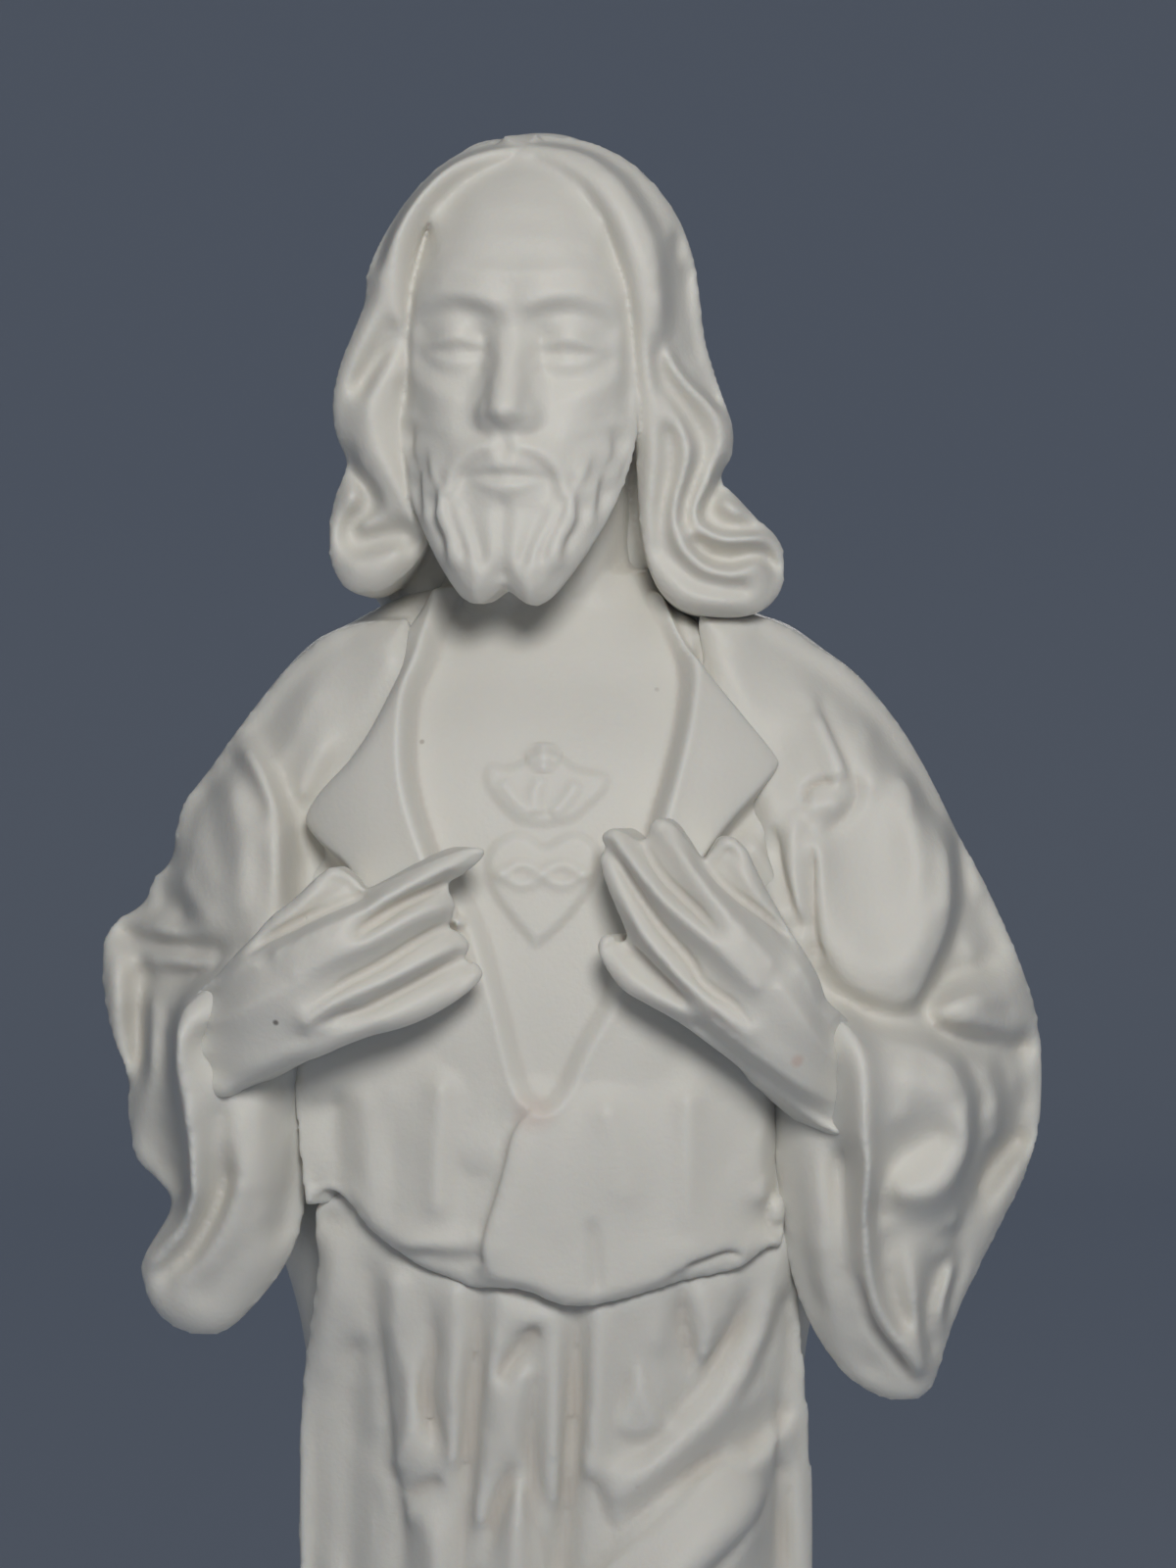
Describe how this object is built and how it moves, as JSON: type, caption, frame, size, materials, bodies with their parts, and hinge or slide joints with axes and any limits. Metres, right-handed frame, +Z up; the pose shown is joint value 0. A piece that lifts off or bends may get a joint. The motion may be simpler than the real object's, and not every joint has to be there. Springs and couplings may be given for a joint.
{
  "type": "sacred heart statue",
  "caption": "Robed, bearded standing figure with hands laid beside a heart in relief on its chest, cast in one piece with a low plinth.",
  "frame": {"origin": "middle of the plinth's underside", "axes": "+Z up from the plinth to the crown, -Y the way the figure faces, +X to the viewer's right when the viewer faces the figure"},
  "size_m": [0.1157, 0.096, 0.3996],
  "materials": {
    "alabaster": "matt"
  },
  "bodies": {
    "root": {"statue": "alabaster"}
  },
  "joints": []
}
